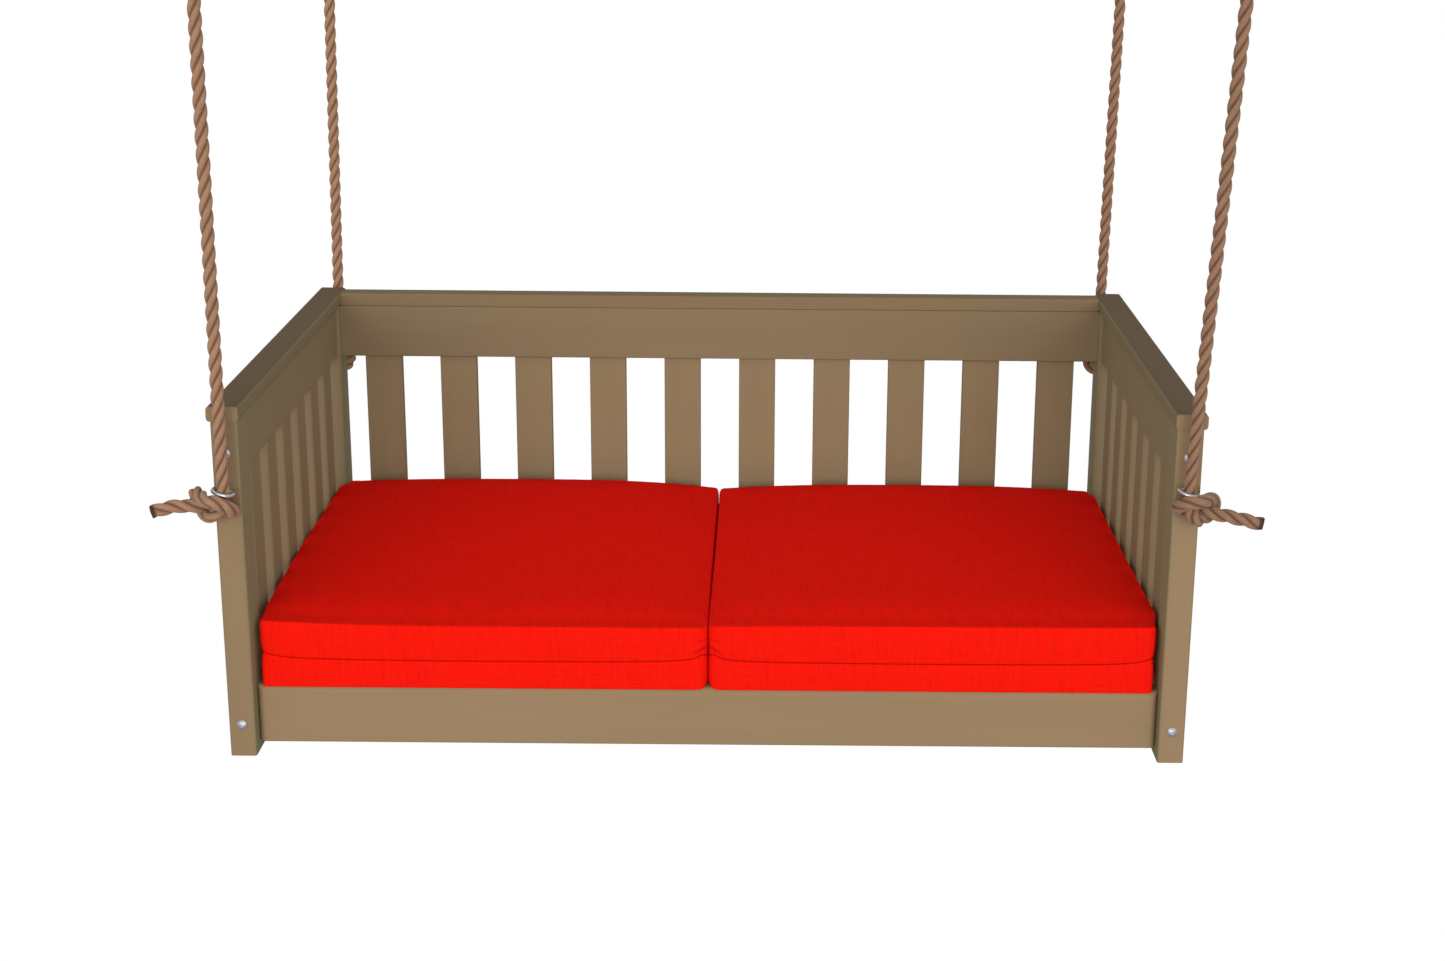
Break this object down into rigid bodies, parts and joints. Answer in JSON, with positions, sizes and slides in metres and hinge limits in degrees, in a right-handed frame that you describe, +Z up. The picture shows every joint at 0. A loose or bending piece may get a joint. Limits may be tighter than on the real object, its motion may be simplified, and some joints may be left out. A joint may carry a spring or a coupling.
{
  "type": "porch swing seat",
  "caption": "Slatted lumber porch swing seat with back and arm panels and two loose boxed cushions, hung by knotted ropes from screw eyes in a porch beam.",
  "frame": {"origin": "middle of the four hanging points, in the plane of the beam's underside", "axes": "+Z up, -Y the open front, +X to the right as seen from the front"},
  "size_m": [1.5675, 0.9591, 1.355],
  "materials": {
    "lumber": "weathered satin stain",
    "hidden_wood": "plain beech",
    "bolt_steel": "zinc plated",
    "zinc": "bright zinc plated",
    "rope": "three-strand twisted rope",
    "cushion_cloth": "plain red outdoor cloth"
  },
  "bodies": {
    "ceiling": {"ceiling_eye_front_left": "zinc", "ceiling_eye_front_right": "zinc", "ceiling_eye_back_left": "zinc", "ceiling_eye_back_right": "zinc"},
    "rope_front_left": {"rope_front_left": "rope", "rope_eye_front_left": "rope", "thimble_front_left": "zinc"},
    "seat": {"front_left_post": "lumber", "front_right_post": "lumber", "back_left_post": "lumber", "back_right_post": "lumber", "front_rail": "lumber", "back_top_rail": "lumber", "back_bottom_rail": "lumber", "back_cap": "lumber", "left_arm_cap": "lumber", "right_arm_cap": "lumber", "left_arm_top_rail": "lumber", "right_arm_top_rail": "lumber", "left_arm_bottom_rail": "lumber", "right_arm_bottom_rail": "lumber", "back_slats": "lumber", "left_arm_slats": "lumber", "right_arm_slats": "lumber", "deck_slats": "lumber", "front_cleat": "lumber", "back_cleat": "lumber", "rail_dowels": "hidden_wood", "cap_dowels": "hidden_wood", "frame_bolts": "bolt_steel", "barrel_nuts": "bolt_steel", "screw_eye_front_left": "zinc", "screw_eye_front_right": "zinc", "screw_eye_back_left": "zinc", "screw_eye_back_right": "zinc", "knot_front_left": "rope", "knot_front_right": "rope", "knot_back_left": "rope", "knot_back_right": "rope"},
    "rope_front_right": {"rope_front_right": "rope", "rope_eye_front_right": "rope", "thimble_front_right": "zinc"},
    "rope_back_left": {"rope_back_left": "rope", "rope_eye_back_left": "rope", "thimble_back_left": "zinc"},
    "rope_back_right": {"rope_back_right": "rope", "rope_eye_back_right": "rope", "thimble_back_right": "zinc"},
    "left_cushion": {"left_cushion": "cushion_cloth"},
    "right_cushion": {"right_cushion": "cushion_cloth"}
  },
  "joints": [
    {"name": "swing", "type": "hinge", "parent": "ceiling", "child": "rope_front_left", "pos_m": [-0.6765, -0.4402, -0.08], "axis": [1, 0, 0], "range_deg": [-6.5, 6.5]},
    {"name": "seat_on_front_left_rope", "type": "hinge", "parent": "rope_front_left", "child": "seat", "pos_m": [-0.6795, -0.4402, -0.889], "axis": [1, 0, 0], "range_deg": [-6.5, 6.5]},
    {"name": "front_right_rope_on_seat", "type": "hinge", "parent": "seat", "child": "rope_front_right", "pos_m": [0.677, -0.4402, -0.879], "axis": [1, 0, 0], "range_deg": [-6.5, 6.5]},
    {"name": "back_left_rope_on_seat", "type": "hinge", "parent": "seat", "child": "rope_back_left", "pos_m": [-0.6775, 0.4402, -0.889], "axis": [1, 0, 0], "range_deg": [-6.5, 6.5]},
    {"name": "back_right_rope_on_seat", "type": "hinge", "parent": "seat", "child": "rope_back_right", "pos_m": [0.6705, 0.4402, -0.879], "axis": [1, 0, 0], "range_deg": [-6.5, 6.5]},
    {"name": "left_cushion_lift", "type": "slide", "parent": "seat", "child": "left_cushion", "axis": [0, 0, 1], "range_m": [0, 0.4]},
    {"name": "right_cushion_lift", "type": "slide", "parent": "seat", "child": "right_cushion", "axis": [0, 0, 1], "range_m": [0, 0.4]}
  ],
  "couplings": [
    {"joint": "seat_on_front_left_rope", "follows": "swing", "ratio": -1},
    {"joint": "front_right_rope_on_seat", "follows": "swing", "ratio": 1},
    {"joint": "back_left_rope_on_seat", "follows": "swing", "ratio": 1},
    {"joint": "back_right_rope_on_seat", "follows": "swing", "ratio": 1}
  ]
}
